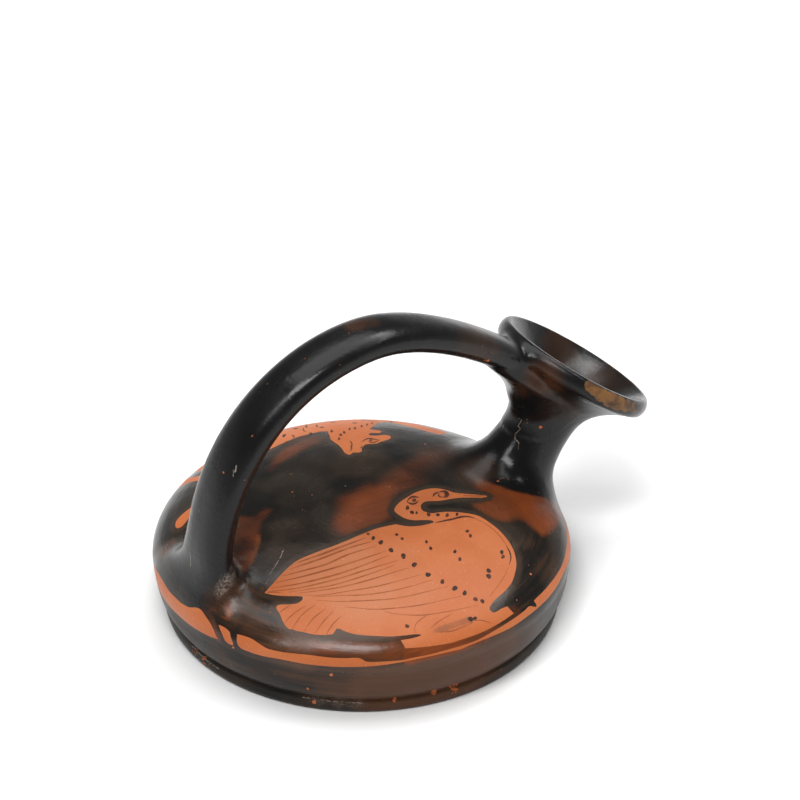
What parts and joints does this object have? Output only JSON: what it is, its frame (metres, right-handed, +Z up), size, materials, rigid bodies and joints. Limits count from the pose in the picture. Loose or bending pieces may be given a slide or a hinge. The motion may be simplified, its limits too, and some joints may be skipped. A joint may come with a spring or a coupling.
{
  "type": "red-figure askos",
  "caption": "Low round hollow clay oil flask with a slanting trumpet spout and an arched strap handle, in black glaze with figures left in orange clay.",
  "frame": {"origin": "centre of the flat underside, on the axis that the body was turned on", "axes": "+Z up along the body's turning axis, +X toward the spout, so the handle and the spout lie in the XZ plane"},
  "size_m": [0.1274, 0.1, 0.0771],
  "materials": {
    "painted_clay": "satin black slip over fired orange clay, with figures and a shoulder band left in the clay's colour"
  },
  "bodies": {
    "root": {"vessel": "painted_clay"}
  },
  "joints": []
}
